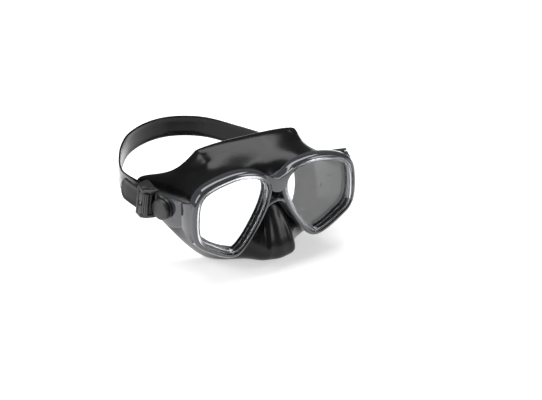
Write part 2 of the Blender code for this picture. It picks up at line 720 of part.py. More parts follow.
def make_strap_ends():
    """The part of the strap threaded through a buckle: in, round the roller, out and free."""
    middle_in = STRAP_INNER + STRAP_THICKNESS / 2
    middle_out = STRAP_OUTER + STRAP_THICKNESS / 2
    places = [(TUNNEL_END - 3.0, middle_in - 0.4), (ROLLER_X + 4, middle_in)]
    places += [
        (ROLLER_X + WRAP_RADIUS * math.cos(a), ROLLER_Z + WRAP_RADIUS * math.sin(a))
        for a in (math.radians(-90 - 18 * i) for i in range(11))
    ]
    dip = LEVER_Z - 0.2 - KEEPER_RADIUS - GAP - STRAP_THICKNESS / 2
    places += [(ROLLER_X + 3, middle_out - 0.1), (KEEPER_X - 2, dip), (KEEPER_X + 2, dip),
               (KEEPER_X + TAIL_LENGTH * 0.35, dip - 0.2), (KEEPER_X + TAIL_LENGTH * 0.7, dip - 1.0),
               (KEEPER_X + TAIL_LENGTH, dip - 2.4)]
    route = []
    for i, (x, z) in enumerate(places):
        before, after = places[max(i - 1, 0)], places[min(i + 1, len(places) - 1)]
        run = Vector((after[0] - before[0], 0, after[1] - before[1])).normalized()
        route.append((Vector((x, 0, z)), Vector((run.z, 0, -run.x)), Vector((0, 1, 0))))
    end = ribbon("strap_end", route, STRAP_WIDTH, STRAP_THICKNESS)
    both_sides(finish(end, silicone, 50), "strap_end", BUCKLE_PITCH)


def strap_start(side):
    """Where the strap leaves a buckle's tunnel, and a point a little further along it."""
    place = side_frame(side, BUCKLE_PITCH[side])
    height = STRAP_INNER + STRAP_THICKNESS / 2 - 0.4
    return [place @ (Vector((x, 0, height)) * MM) / MM for x in (TUNNEL_END - 2.0, TUNNEL_END + 4)]


# The loop behind the head. It hangs lower on the wearer's left, as a slack strap does.
# It goes straight past the temples of the skirt and turns in behind them.
STRAP_RIGHT = [(-92.5, 72, 10.5), (-90, TEMPLE_DEPTH - 2, 8.5), (-84, TEMPLE_DEPTH + 14, 6.5),
               (-75, TEMPLE_DEPTH + 32, 4.5), (-62, TEMPLE_DEPTH + 54, 3.5),
               (-44, STRAP_LOOP_DEPTH - 18.5, 3), (-22, STRAP_LOOP_DEPTH - 4.5, 3)]
STRAP_LEFT = [(20, STRAP_LOOP_DEPTH - 4, 2), (38, STRAP_LOOP_DEPTH - 14.5, 0),
              (54, TEMPLE_DEPTH + 60, -3.5), (66, TEMPLE_DEPTH + 38, -5.5),
              (77.5, TEMPLE_DEPTH + 18, -9), (87, TEMPLE_DEPTH + 1, -14),
              (92.6, TEMPLE_DEPTH - 13, -15), (93.6, 67, -11.9)]


def make_strap():
    middle = [(0, STRAP_LOOP_DEPTH, 3)]
    points = strap_start(-1) + STRAP_RIGHT + middle + STRAP_LEFT + strap_start(1)[::-1]
    centre = round_curve(points, 3, closed=False)
    leads = {0: points[1] - points[0], len(centre) - 1: points[-1] - points[-2]}
    route = []
    for i, point in enumerate(centre):
        ahead, behind = centre[min(i + 1, len(centre) - 1)], centre[max(i - 1, 0)]
        run = leads.get(i, ahead - behind).normalized()
        outward = run.cross(Vector((0, 0, 1))).normalized()
        route.append((point, outward, outward.cross(run).normalized()))
    strap = ribbon("strap_band", route, STRAP_WIDTH, STRAP_THICKNESS)
    made = add_object("strap", strap.data, PARTS)
    bpy.data.objects.remove(strap, do_unlink=True)
    finish(made, silicone, 50)


# The mask ---------------------------------------------------------------------

make_lens()
make_bezel()
make_frame()
make_skirt()
make_lug()
make_stud()
make_body()
make_cap()
make_roller()
make_lever()
make_strap_ends()
make_strap()

for made in PARTS.objects:
    shift = Matrix.Translation(Vector((0, -FOOTPRINT_MIDDLE_Y, -LOWEST_Z)) * MM)
    made.matrix_world = shift @ made.matrix_world
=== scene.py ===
import json
import math

import bmesh
import bpy
from mathutils import Matrix, Vector

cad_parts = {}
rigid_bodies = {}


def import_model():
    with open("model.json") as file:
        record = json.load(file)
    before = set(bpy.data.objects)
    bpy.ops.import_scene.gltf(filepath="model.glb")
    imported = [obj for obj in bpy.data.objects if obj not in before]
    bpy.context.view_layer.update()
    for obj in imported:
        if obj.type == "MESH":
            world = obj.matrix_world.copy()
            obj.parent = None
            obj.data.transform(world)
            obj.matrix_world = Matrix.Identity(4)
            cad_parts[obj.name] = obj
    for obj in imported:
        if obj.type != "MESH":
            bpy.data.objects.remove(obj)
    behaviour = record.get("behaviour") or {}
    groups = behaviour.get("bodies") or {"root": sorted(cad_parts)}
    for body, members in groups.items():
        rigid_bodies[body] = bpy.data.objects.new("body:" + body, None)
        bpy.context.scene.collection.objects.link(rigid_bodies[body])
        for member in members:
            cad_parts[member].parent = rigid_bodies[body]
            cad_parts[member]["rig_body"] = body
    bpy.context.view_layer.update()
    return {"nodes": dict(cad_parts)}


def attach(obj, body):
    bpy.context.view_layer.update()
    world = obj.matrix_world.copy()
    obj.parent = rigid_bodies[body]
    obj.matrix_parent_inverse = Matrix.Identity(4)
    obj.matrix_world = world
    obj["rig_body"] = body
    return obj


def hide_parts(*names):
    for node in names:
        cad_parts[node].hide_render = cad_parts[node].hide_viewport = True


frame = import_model()
nodes = frame["nodes"]

# Frame ------------------------------------------------------------------------------------------
# One injection moulding in smoke-grey polycarbonate, polished in the tool: two rims joined by a
# bridge web over the nose, an arch bar under it, and side wings that carry the buckle lugs.

MM = 0.001


def add_node(tree, kind, sockets=None, **settings):
    """A shader node whose sockets are linked to other sockets or set to plain values."""
    made = tree.nodes.new(kind)
    for key, value in settings.items():
        setattr(made, key, value)
    for key, value in (sockets or {}).items():
        if isinstance(value, bpy.types.NodeSocket):
            tree.links.new(value, made.inputs[key])
        else:
            made.inputs[key].default_value = value
    return made


def new_group(name, inputs, outputs):
    """A node group with float inputs at their usual values: its tree, its inputs, its outputs."""
    tree = bpy.data.node_groups.new(name, "ShaderNodeTree")
    for socket, usual in inputs.items():
        made = tree.interface.new_socket(socket, in_out="INPUT", socket_type="NodeSocketFloat")
        made.default_value = usual
    for socket in outputs:
        tree.interface.new_socket(socket, in_out="OUTPUT", socket_type="NodeSocketFloat")
    return tree, tree.nodes.new("NodeGroupInput").outputs, tree.nodes.new("NodeGroupOutput")


def make_moulded_skin():
    """Fine moulded grain as a height, and broad soft patches where the surface varies."""
    tree, given, result = new_group(
        "moulded_skin", {"Grain Scale": 900.0, "Patch Scale": 45.0}, ["Height", "Patches"]
    )
    place = add_node(tree, "ShaderNodeTexCoord").outputs["Object"]
    grain = add_node(tree, "ShaderNodeTexNoise",
                     {"Vector": place, "Scale": given["Grain Scale"], "Detail": 4.0,
                      "Roughness": 0.6})
    patches = add_node(tree, "ShaderNodeTexNoise",
                       {"Vector": place, "Scale": given["Patch Scale"], "Detail": 3.0,
                        "Distortion": 0.6})
    tree.links.new(grain.outputs["Fac"], result.inputs["Height"])
    tree.links.new(patches.outputs["Fac"], result.inputs["Patches"])
    return tree


def make_fine_scratches():
    """Hairline rub marks in two crossing directions, as a mask."""
    tree, given, result = new_group("fine_scratches", {"Scale": 300.0, "Share": 0.3}, ["Mask"])
    place = add_node(tree, "ShaderNodeTexCoord").outputs["Object"]
    marks = []
    for turn, stretch in ((0.7, (1.0, 0.05, 1.0)), (-0.5, (0.06, 1.0, 0.6))):
        turned = add_node(tree, "ShaderNodeMapping",
                          {"Vector": place, "Rotation": (turn, turn * 0.6, turn), "Scale": stretch})
        lines = add_node(tree, "ShaderNodeTexNoise",
                         {"Vector": turned.outputs[0], "Scale": given["Scale"], "Detail": 2.0})
        marks.append(add_node(tree, "ShaderNodeMapRange",
                              {"Value": lines.outputs["Fac"], "From Min": 0.66, "From Max": 0.72}))
    both = add_node(tree, "ShaderNodeMath", {0: marks[0].outputs[0], 1: marks[1].outputs[0]},
                    operation="MAXIMUM")
    shown = add_node(tree, "ShaderNodeMath", {0: both.outputs[0], 1: given["Share"]},
                     operation="MULTIPLY")
    tree.links.new(shown.outputs[0], result.inputs["Mask"])
    return tree


def make_dust():
    """Sparse fine specks of dust, as a mask."""
    tree, given, result = new_group("dust_specks", {"Scale": 700.0, "Share": 0.5}, ["Mask"])
    place = add_node(tree, "ShaderNodeTexCoord").outputs["Object"]
    cells = add_node(tree, "ShaderNodeTexVoronoi", {"Vector": place, "Scale": given["Scale"]})
    drift = add_node(tree, "ShaderNodeTexNoise", {"Vector": place, "Scale": 60.0, "Detail": 2.0})
    size = add_node(tree, "ShaderNodeMapRange",
                    {"Value": drift.outputs["Fac"], "From Min": 0.5, "From Max": 0.75,
                     "To Min": 0.0, "To Max": 0.16})
    speck = add_node(tree, "ShaderNodeMath", {0: cells.outputs["Distance"], 1: size.outputs[0]},
                     operation="LESS_THAN")
    shown = add_node(tree, "ShaderNodeMath", {0: speck.outputs[0], 1: given["Share"]},
                     operation="MULTIPLY")
    tree.links.new(shown.outputs[0], result.inputs["Mask"])
    return tree


MOULDED_SKIN = make_moulded_skin()
FINE_SCRATCHES = make_fine_scratches()
DUST_SPECKS = make_dust()
DUST_COLOUR = (0.35, 0.34, 0.32, 1)
GRAIN_RELIEF = 0.0002


def group_node(tree, group, sockets):
    """A node group in use, with some of its inputs set."""
    made = tree.nodes.new("ShaderNodeGroup")
    made.node_tree = group
    for key, value in sockets.items():
        made.inputs[key].default_value = value
    return made


def mix_colours(tree, share, first, second):
    """Two colours mixed by a share from 0 to 1 (a Mix node keeps them in its sockets 6 and 7)."""
    mix = add_node(tree, "ShaderNodeMix", {0: share, 6: first, 7: second}, data_type="RGBA")
    return mix.outputs[2]


def moulded_material(name, dark, light, smooth, rough, grain, patch, bump, dust, scratch, **plain):
    """A moulded surface: two close colours in soft patches, grain, hairline rubs and dust."""
    made = bpy.data.materials.new(name)
    made.use_nodes = True
    tree = made.node_tree
    shader = tree.nodes["Principled BSDF"]
    for socket, value in plain.items():
        shader.inputs[socket.replace("_", " ")].default_value = value
    skin = group_node(tree, MOULDED_SKIN, {"Grain Scale": grain, "Patch Scale": patch})
    specks = group_node(tree, DUST_SPECKS, {"Share": dust})
    rubs = group_node(tree, FINE_SCRATCHES, {"Share": scratch})
    colour = mix_colours(tree, skin.outputs["Patches"], (*dark, 1), (*light, 1))
    dusty = mix_colours(tree, specks.outputs["Mask"], colour, DUST_COLOUR)
    tree.links.new(dusty, shader.inputs["Base Color"])
    gloss = add_node(tree, "ShaderNodeMapRange",
                     {"Value": skin.outputs["Patches"], "From Min": 0.3, "From Max": 0.7,
                      "To Min": smooth, "To Max": rough})
    rubbed = add_node(tree, "ShaderNodeMath", {0: gloss.outputs[0], 1: rubs.outputs["Mask"]},
                      operation="ADD", use_clamp=True)
    tree.links.new(rubbed.outputs[0], shader.inputs["Roughness"])
    relief = add_node(tree, "ShaderNodeBump",
                      {"Height": skin.outputs["Height"], "Strength": bump,
                       "Distance": GRAIN_RELIEF})
    tree.links.new(relief.outputs["Normal"], shader.inputs["Normal"])
    return made


smoke_polycarbonate = moulded_material(
    "smoke_polycarbonate", (0.030, 0.032, 0.038), (0.050, 0.052, 0.060), 0.07, 0.13,
    grain=500.0, patch=30.0, bump=0.05, dust=0.10, scratch=0.10, IOR=1.585, Coat_Weight=0.6,
)


def look(piece, material):
    """Gives a piece one material."""
    piece.data.materials.clear()
    piece.data.materials.append(material)


def apply_modifiers(piece):
    """Makes what a piece's modifiers do part of its mesh."""
    mesh = bpy.data.meshes.new_from_object(
        piece.evaluated_get(bpy.context.evaluated_depsgraph_get())
    )
    piece.modifiers.clear()
    piece.data = mesh


WELD_DISTANCE = 0.000001
FLAT_ANGLE = math.radians(0.5)  # facets that meet under this angle are one face
EDGE_ANGLE = math.radians(38)  # edges over this angle get the moulding's radius
SHARP_ANGLE = math.radians(40)


def moulded_copy(node, name, material, radius):
    """A node's own shape with its facets made smooth and its edges rounded by a radius in mm."""
    bm = bmesh.new()
    bm.from_mesh(nodes[node].data)
    bmesh.ops.remove_doubles(bm, verts=bm.verts, dist=WELD_DISTANCE)
    bmesh.ops.dissolve_limit(bm, angle_limit=FLAT_ANGLE, verts=bm.verts, edges=bm.edges)
    mesh = bpy.data.meshes.new(name)
    bm.to_mesh(mesh)
    bm.free()
    if "custom_normal" in mesh.attributes:
        mesh.attributes.remove(mesh.attributes["custom_normal"])
    made = bpy.data.objects.new(name, mesh)
    bpy.context.scene.collection.objects.link(made)
    rounding = made.modifiers.new("edge_radius", "BEVEL")
    rounding.width = radius * MM
    rounding.segments = 2
    rounding.limit_method = "ANGLE"
    rounding.angle_limit = EDGE_ANGLE
    apply_modifiers(made)
    made.data.shade_smooth()
    made.data.set_sharp_from_angle(angle=SHARP_ANGLE)
    look(made, material)
    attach(made, nodes[node]["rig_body"])
    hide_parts(node)


moulded_copy("frame", "frame_moulding", smoke_polycarbonate, 0.3)

# Lenses -----------------------------------------------------------------------------------------
# Two plates of tempered glass, cut to the rims' outline with ground edges. Each lies against the
# silicone collar behind it and is held by its bezel.

tempered_glass = moulded_material(
    "tempered_glass", (0.92, 0.93, 0.95), (0.94, 0.95, 0.97), 0.0, 0.012,
    grain=60.0, patch=20.0, bump=0.0, dust=0.04, scratch=0.03, IOR=1.52, Transmission_Weight=1.0,
    Coat_Weight=0.3, Coat_IOR=1.6, Coat_Roughness=0.02,
)
SIDES = {"left": 1, "right": -1}  # the wearer's, and which way each lies along X
for word in SIDES:
    look(nodes[f"lens_{word}"], tempered_glass)

# Bezels -----------------------------------------------------------------------------------------
# Snap-in rings of clear, faintly smoked polycarbonate that press the lenses onto the skirt. Each
# has a rounded outer shoulder, a fine step and a polished inner lip beside the glass.

ORIGIN = Vector((0, -87.27, 53.43))  # in mm, the design's zero: midway between the lens fronts
RIM_FRONT = -3.0
BEZEL_WIDTH = 2.8
BEZEL_DEPTH = 4.2
BEZEL_CREASE = math.radians(50)

bezel_polycarbonate = moulded_material(
    "bezel_polycarbonate", (0.70, 0.71, 0.74), (0.80, 0.81, 0.84), 0.02, 0.05,
    grain=400.0, patch=30.0, bump=0.03, dust=0.06, scratch=0.06, IOR=1.585,
    Transmission_Weight=1.0,
)


def smooth_line(points, steps, closed=True):
    """Points along a smooth curve through the given points (Catmull-Rom spans)."""
    points = [Vector(p) for p in points]
    count = len(points)
    curve = []
    for i in range(count if closed else count - 1):
        if closed:
            p0, p1, p2, p3 = (points[(i + k) % count] for k in (-1, 0, 1, 2))
        else:
            p0, p1, p2, p3 = (points[min(max(i + k, 0), count - 1)] for k in (-1, 0, 1, 2))
        for j in range(steps):
            t = j / steps
            curve.append(
                0.5 * (2 * p1 + (p2 - p0) * t + (2 * p0 - 5 * p1 + 4 * p2 - p3) * t**2
                       + (3 * p1 - p0 - 3 * p2 + p3) * t**3)
            )
    if not closed:
        curve.append(points[-1])
    return curve


def outset(outline, distance):
    """A closed clockwise outline moved outwards."""
    count = len(outline)
    moved = []
    for i, point in enumerate(outline):
        run = (outline[(i + 1) % count] - outline[i - 1]).normalized()
        moved.append(point + Vector((-run.y, run.x)) * distance)
    return moved


def piece_from(bm, name, material, matrix=None):
    """A named piece from a bmesh in design millimetres, smooth shaded, with its material."""
    if matrix is not None:
        bmesh.ops.transform(bm, matrix=matrix, verts=bm.verts)
    bmesh.ops.recalc_face_normals(bm, faces=bm.faces)
    for vert in bm.verts:
        vert.co = (vert.co + ORIGIN) * MM
    mesh = bpy.data.meshes.new(name)
    bm.to_mesh(mesh)
    bm.free()
    made = bpy.data.objects.new(name, mesh)
    bpy.context.scene.collection.objects.link(made)
    mesh.shade_smooth()
    mesh.materials.append(material)
    return made


def surface_through(rings, capped):
    """A bmesh through rings of equal size, either closed with caps or closed on itself."""
    bm = bmesh.new()
    rows = [[bm.verts.new(point) for point in ring] for ring in rings]
    size = len(rows[0])
    pairs = list(zip(rows, rows[1:])) if capped else list(zip(rows, rows[1:] + rows[:1]))
    for first, second in pairs:
        for i in range(size):
            j = (i + 1) % size
            bm.faces.new((first[i], first[j], second[j], second[i]))
    if capped:
        bm.faces.new(list(reversed(rows[0])))
        bm.faces.new(rows[-1])
    return bm


# The clear opening of the wearer's left lens, clockwise from the top, in X and Z.
OPENING_POINTS = [
    (40, 29.4), (56.5, 26.2), (67, 20.5), (70.4, 8), (69.2, -11.5), (58.5, -21), (42, -29.3),
    (33.5, -26.5), (22.5, -13), (12.8, 4.5), (10.2, 18.5), (17, 26.2), (28, 29.2),
]
OPENING = smooth_line(OPENING_POINTS, 12)


def mirror_x(outline):
    """An outline carried over from the wearer's left half to the right half."""
    return [Vector((-p.x, p.y)) for p in outline]


def bezel_profile():
    """The ring's section: how far outwards from the opening, and how far back."""
    front, rear = RIM_FRONT + 0.3, RIM_FRONT + 0.4 + BEZEL_DEPTH
    return [
        (0.0, rear), (BEZEL_WIDTH, rear), (BEZEL_WIDTH, front + 1.5),
        (BEZEL_WIDTH - 0.12, front + 1.0), (BEZEL_WIDTH - 0.45, front + 0.62),
        (BEZEL_WIDTH - 0.95, front + 0.5), (1.72, front + 0.48), (1.6, front + 0.1),
        (1.3, front), (0.75, front + 0.05), (0.3, front + 0.3), (0.08, front + 0.75),
        (0.0, front + 1.2),
    ]


for word, side in SIDES.items():
    outline = OPENING if side > 0 else list(reversed(mirror_x(OPENING)))
    rings = [[(p.x, y, p.y) for p in outset(outline, out)] for out, y in bezel_profile()]
    bezel = piece_from(surface_through(rings, capped=False), f"bezel_ring_{word}",
                       bezel_polycarbonate)
    bezel.data.set_sharp_from_angle(angle=BEZEL_CREASE)
    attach(bezel, "mask")
    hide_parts(f"bezel_{word}")

# Skirt ------------------------------------------------------------------------------------------
# The soft body of the mask, one moulding in glossy black liquid silicone: a flat collar clamped
# behind the rims, thin walls, a nose pocket, and a rolled bead round the edge that seals the face.

RIM_BACK = 5.9
COLLAR_FRONT = RIM_BACK + 0.3
COLLAR_THICKNESS = 2.5
COLLAR_MIDDLE = COLLAR_FRONT + COLLAR_THICKNESS / 2
COLLAR_LAP = 0.8
COLLAR_SETBACK = 0.6  # how far the collar's holes stand back from the rims' openings
BROW_DEPTH = 47.0
TEMPLE_DEPTH = 90.0
SKIRT_WALL = 2.0
SKIRT_ROWS = 8
BROW_LINE = 3  # the line down the skirt that is creased into the brow's fold
BROW_FOLD = 0.9
RELIEF_STEPS = 24
RELIEF_REACH = 45
BEAD_RADIUS = 1.45
BEAD_SIDES = 12
BEAD_SPACING = 3
SEAM_GAP = 0.0001
SHEET_EDGE = 0.25

black_silicone = moulded_material(
    "black_silicone", (0.004, 0.004, 0.0045), (0.008, 0.008, 0.009), 0.17, 0.26,
    grain=1300.0, patch=38.0, bump=0.10, dust=0.22, scratch=0.05, Specular_IOR_Level=0.25,
)

# Lines down the skirt from its collar to its face edge, for the wearer's left half.
SKIRT_LINES = [
    [(0, COLLAR_MIDDLE, 22), (0, 13, 30), (0, 29, 38),
     (0, BROW_DEPTH - 2, 46), (0, BROW_DEPTH - 0.5, 35)],
    [(12, COLLAR_MIDDLE, 27), (13, 13, 32), (15, 29, 38.5),
     (16, BROW_DEPTH - 1.5, 45.5), (15, BROW_DEPTH + 0.5, 34)],
    [(27, COLLAR_MIDDLE, 32), (28, 14, 34), (30, 31, 38.5),
     (32, BROW_DEPTH - 0.5, 44.3), (29, BROW_DEPTH + 2, 32.5)],
    [(41, COLLAR_MIDDLE, 33.6), (42, 15.5, 32), (43.5, 31.5, 35.5),
     (46, BROW_DEPTH, 42), (41, BROW_DEPTH + 3.5, 30)],
    [(57, COLLAR_MIDDLE, 28), (55, 17.5, 27), (52, 35, 26),
     (60.3, BROW_DEPTH + 11, 19.5), (52, BROW_DEPTH + 13, 15.5)],
    [(69, COLLAR_MIDDLE, 18.5), (66, 18.5, 18), (64, 42, 18.5),
     (74, TEMPLE_DEPTH - 10, 13.5), (64, TEMPLE_DEPTH - 14, 9.5)],
    [(72.6, COLLAR_MIDDLE, 6), (69, 18.5, 7), (68, 46, 8),
     (82, TEMPLE_DEPTH, 9.5), (70, TEMPLE_DEPTH - 5, 4)],
    [(72, COLLAR_MIDDLE, -8), (69.5, 18.5, -9), (69, 46, -8),
     (79, TEMPLE_DEPTH - 6, -6), (68.5, TEMPLE_DEPTH - 12, -6)],
    [(66, COLLAR_MIDDLE, -19.5), (66, 18, -22), (66, 38, -23), (68.5, 60, -24), (59, 58, -19)],
    [(54, COLLAR_MIDDLE, -27.5), (56, 17, -33), (57.5, 34.5, -38.5), (56, 48, -36.5),
     (49, 50, -31)],
    [(41, COLLAR_MIDDLE, -33), (40, 16.5, -38.5), (42, 34, -51), (41, 43, -53.5), (37, 45, -43.5)],
    [(28, COLLAR_MIDDLE, -26), (28.5, 13.5, -38.5), (28.5, 23, -50), (27, 36, -54),
     (24.5, 40, -47.5)],
    [(20, COLLAR_MIDDLE, -20.5), (19.5, 2.5, -33), (19.5, 5, -41.5),
     (18, 21, -50.3), (15.5, 35, -48.5)],
    [(12.2, COLLAR_MIDDLE, -11), (12, -1.5, -24), (13.5, -10, -40),
     (13.5, -4, -45), (13, 16, -48), (11, 33, -46.5)],
    [(6.2, COLLAR_MIDDLE, 0), (7.5, -2.5, -12), (10, -9, -29),
     (9, -13, -41.5), (7, 3, -45.2), (6, 32, -44)],
    [(0, COLLAR_MIDDLE, 2.6), (0, 0.5, -8), (0, -7.5, -28),
     (0, -13.5, -43), (0, 3, -45.6), (0, 31, -42)],
]

# Moulded-in ridges and valleys: a route on the wearer's left, how far it stands out and its width.
SKIRT_RELIEF = [
    ([(57, 12, 28.5), (51, 20, 31.5), (46, 28, 36), (42, 36, 40), (38, 44, 44)], 0.9, 1.3),
    ([(9, 2, -6), (11, -3, -18), (13.2, -9, -33), (14, -10, -41)], 1.0, 2.2),
    ([(4.5, 1, -8), (5.5, -5, -22), (6.5, -10, -36)], -0.9, 3.0),
]


def even_points(points, count):
    """Evenly spaced points along a smooth curve through some points."""
    curve = smooth_line(points, 8, closed=False)
    lengths = [0.0]
    for first, second in zip(curve, curve[1:]):
        lengths.append(lengths[-1] + (second - first).length)
    spread = []
    for k in range(count):
        target = lengths[-1] * k / (count - 1)
        i = max(j for j in range(len(curve)) if lengths[j] <= target + 1e-9)
        if i == len(curve) - 1:
            spread.append(curve[-1])
            continue
        share = (target - lengths[i]) / (lengths[i + 1] - lengths[i])
        spread.append(curve[i].lerp(curve[i + 1], share))
    return spread


def raise_relief(mesh, relief):
    """Moves the skirt's surface out along its ridges and in along its valleys, on both sides."""
    routes = []
    for points, height, width in relief:
        for side in (1, -1):
            route = [Vector((p[0] * side, p[1], p[2])) for p in points]
            routes.append((even_points(route, RELIEF_STEPS), height, width))
    normals = [vert.normal.copy() for vert in mesh.vertices]
    for vert, normal in zip(mesh.vertices, normals):
        place = vert.co / MM - ORIGIN
        shift = 0.0
        for route, height, width in routes:
            if (place - route[RELIEF_STEPS // 2]).length > RELIEF_REACH:
                continue
            near = min((place - point).length_squared for point in route)
            shift += height * math.exp(-near / (2 * width * width))
        vert.co += normal * shift * MM


def make_skirt():
    """The skirt's wall, and the route of its face edge before the wall gets its thickness."""
    lines = [even_points(line, SKIRT_ROWS) for line in SKIRT_LINES]
    bm = bmesh.new()
    rows = [[bm.verts.new(point) for point in line] for line in lines]
    for first, second in zip(rows, rows[1:]):
        for i in range(SKIRT_ROWS - 1):
            bm.faces.new((first[i], first[i + 1], second[i + 1], second[i]))
    fold = bm.edges.layers.float.new("crease_edge")
    for i in range(2, SKIRT_ROWS - 1):
        edge = bm.edges.get((rows[BROW_LINE][i], rows[BROW_LINE][i + 1]))
        edge[fold] = BROW_FOLD * (i - 1) / (SKIRT_ROWS - 3)
    skirt = piece_from(bm, "skirt_shell", black_silicone)
    mirror = skirt.modifiers.new("mirror", "MIRROR")
    mirror.use_clip = True
    mirror.merge_threshold = SEAM_GAP
    rounding = skirt.modifiers.new("rounding", "SUBSURF")
    rounding.levels = rounding.render_levels = 3
    apply_modifiers(skirt)
    edge_route = face_edge_route(skirt.data)
    raise_relief(skirt.data, SKIRT_RELIEF)
    wall = skirt.modifiers.new("wall", "SOLIDIFY")
    wall.thickness = SKIRT_WALL * MM
    wall.offset = 0
    apply_modifiers(skirt)
    skirt.data.shade_smooth()
    return skirt, edge_route


def face_edge_route(mesh):
    """The open edge of the skirt's middle surface that lies furthest back, as a closed route."""
    bm = bmesh.new()
    bm.from_mesh(mesh)
    loops, seen = [], set()
    for start in bm.edges:
        if not start.is_boundary or start in seen:
            continue
        loop, edge, vert = [], start, start.verts[0]
        while edge is not None and edge not in seen:
            seen.add(edge)
            vert = edge.other_vert(vert)
            loop.append(vert.co / MM - ORIGIN)
            edge = next((e for e in vert.link_edges if e.is_boundary and e not in seen), None)
        loops.append(loop)
    bm.free()
    return max(loops, key=lambda loop: sum(p.y for p in loop) / len(loop))


def tube(route, radius, sides):
    """The rings of a round bead along a route, each turned as little as it can be."""
    rings = []
    last = len(route) - 1
    for i, point in enumerate(route):
        run = (route[min(i + 1, last)] - route[max(i - 1, 0)]).normalized()
        if rings:
            across = (across - run * across.dot(run)).normalized()
        else:
            across = run.orthogonal().normalized()
        other = run.cross(across)
        rings.append([
            point + (across * math.cos(a) + other * math.sin(a)) * radius
            for a in (2 * math.pi * k / sides for k in range(sides))
        ])
    return rings


skirt, edge_route = make_skirt()
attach(skirt, "mask")
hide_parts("skirt")

bead_route = edge_route[::BEAD_SPACING] + edge_route[:1]
bead_rings = tube(bead_route, BEAD_RADIUS, BEAD_SIDES)
bead = piece_from(surface_through(bead_rings, capped=True), "skirt_face_bead", black_silicone)
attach(bead, "mask")


def flat_sheet(name, outlines, front, back, material):
    """A flat plate facing forwards, from outlines in X and Z; the later outlines are holes."""
    curve = bpy.data.curves.new(name, "CURVE")
    curve.dimensions = "2D"
    curve.fill_mode = "BOTH"
    curve.extrude = (back - front) / 2 - SHEET_EDGE
    curve.bevel_depth = SHEET_EDGE
    curve.bevel_resolution = 3
    for outline in outlines:
        spline = curve.splines.new("POLY")
        spline.points.add(len(outline) - 1)
        for point, place in zip(spline.points, outline):
            point.co = (place[0], place[1], 0, 1)
        spline.use_cyclic_u = True
    drawn = bpy.data.objects.new(name + "_curve", curve)
    bpy.context.scene.collection.objects.link(drawn)
    mesh = bpy.data.meshes.new_from_object(
        drawn.evaluated_get(bpy.context.evaluated_depsgraph_get())
    )
    bpy.data.objects.remove(drawn, do_unlink=True)
    bm = bmesh.new()
    bm.from_mesh(mesh)
    bmesh.ops.remove_doubles(bm, verts=bm.verts, dist=1e-4)
    place = Matrix.Translation((0, (front + back) / 2, 0)) @ Matrix.Rotation(math.pi / 2, 4, "X")
    return piece_from(bm, name, material, place)


collar_front = [Vector((line[0][0], line[0][2])) for line in SKIRT_LINES]
collar_outline = outset(
    smooth_line(collar_front + mirror_x(list(reversed(collar_front[1:-1]))), 8), COLLAR_LAP
)
collar_hole = outset(OPENING, COLLAR_SETBACK)
collar = flat_sheet("skirt_collar", [collar_outline, collar_hole, mirror_x(collar_hole)],
                    COLLAR_FRONT, COLLAR_FRONT + COLLAR_THICKNESS, black_silicone)
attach(collar, "mask")

# Lugs and pivots --------------------------------------------------------------------------------
# A lug plate in the frame's polycarbonate clips into each wing; a stainless stud through it carries
# the swivelling buckle.

stainless_steel = moulded_material(
    "stainless_steel", (0.16, 0.16, 0.17), (0.24, 0.24, 0.25), 0.30, 0.42,
    grain=1500.0, patch=200.0, bump=0.08, dust=0.03, scratch=0.2, Metallic=1.0,
)
for word in SIDES:
    moulded_copy(f"buckle_lug_{word}", f"lug_plate_{word}", smoke_polycarbonate,
                 0.3)
    look(nodes[f"pivot_stud_{word}"], stainless_steel)

# Buckles ----------------------------------------------------------------------------------------
# Each is moulded in black nylon with a fine satin skin: a boss round the stud, two arms beside the
# strap, a ribbed roller and a ribbed release lever on steel pins, and a pressed-on button cap.

buckle_nylon = moulded_material(
    "buckle_nylon", (0.010, 0.010, 0.011), (0.018, 0.018, 0.020), 0.30, 0.42,
    grain=2200.0, patch=70.0, bump=0.25, dust=0.15, scratch=0.08, IOR=1.53,
)
for word in SIDES:
    for piece, radius in (("buckle_body", 0.25), ("pivot_cap", 0.2), ("release_lever", 0.15)):
        moulded_copy(f"{piece}_{word}", f"{piece}_moulding_{word}", buckle_nylon,
                     radius)
    look(nodes[f"roller_{word}"], buckle_nylon)
    for piece in ("roller_pin", "lever_pin", "lever_spring"):
        look(nodes[f"{piece}_{word}"], stainless_steel)

# Strap ------------------------------------------------------------------------------------------
# One band of the same black silicone, moulded flat with a thicker rounded edge along both sides.
# Both ends pass into the buckles, turn round the rollers and come out again as free tails.

PIVOT = Vector((83.3, 29.6, 6.5))
TOE_OUT = math.radians(15)
BUCKLE_PITCH = {1: math.radians(-25), -1: math.radians(9)}  # slack lets the left one hang
TUNNEL_END = 25.5
STRAP_WIDTH = 19.0
STRAP_THICKNESS = 1.8
STRAP_INNER = 0.3
STRAP_SEAT = 0.4  # how much lower the band lies where it enters the buckle's tunnel
STRAP_LOOP_DEPTH = 184.5


def buckle_place(side, pitch):
    """Where a buckle's flat model goes: side is 1 for the wearer's left and -1 for the right."""
    out = Vector((side * math.cos(TOE_OUT), -math.sin(TOE_OUT), 0))
    back = Vector((side * math.sin(TOE_OUT), math.cos(TOE_OUT), 0))
    back = back * math.cos(pitch) + Vector((0, 0, 1)) * math.sin(pitch)
    matrix = Matrix((back, out.cross(back), out)).transposed().to_4x4()
    matrix.translation = Vector((side * PIVOT.x, PIVOT.y, PIVOT.z))
    return matrix


